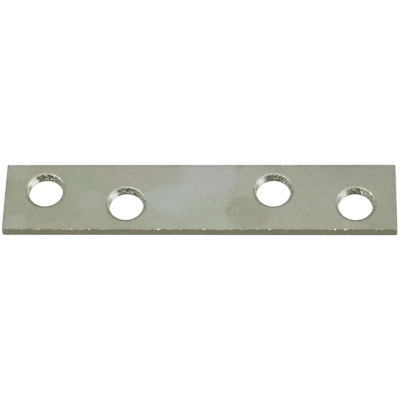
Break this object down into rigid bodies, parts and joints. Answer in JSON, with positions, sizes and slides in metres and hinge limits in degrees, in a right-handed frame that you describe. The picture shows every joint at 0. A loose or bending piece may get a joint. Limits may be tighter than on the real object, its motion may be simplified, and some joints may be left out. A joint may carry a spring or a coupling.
{
  "type": "mending plate",
  "caption": "Flat zinc plated steel strip with countersunk screw holes in a zigzag row, screwed across a joint to hold two timbers in line.",
  "frame": {"origin": "middle of the back face, the flat face that lies against the timber", "axes": "+X along the plate's length, +Y across its width, +Z out of the countersunk face"},
  "size_m": [0.0636, 0.0126, 0.0016],
  "materials": {
    "zinc_plated_steel": "electroplated zinc with a thin pale passivation, satin, faintly mottled"
  },
  "bodies": {
    "root": {"mending_plate": "zinc_plated_steel"}
  },
  "joints": []
}
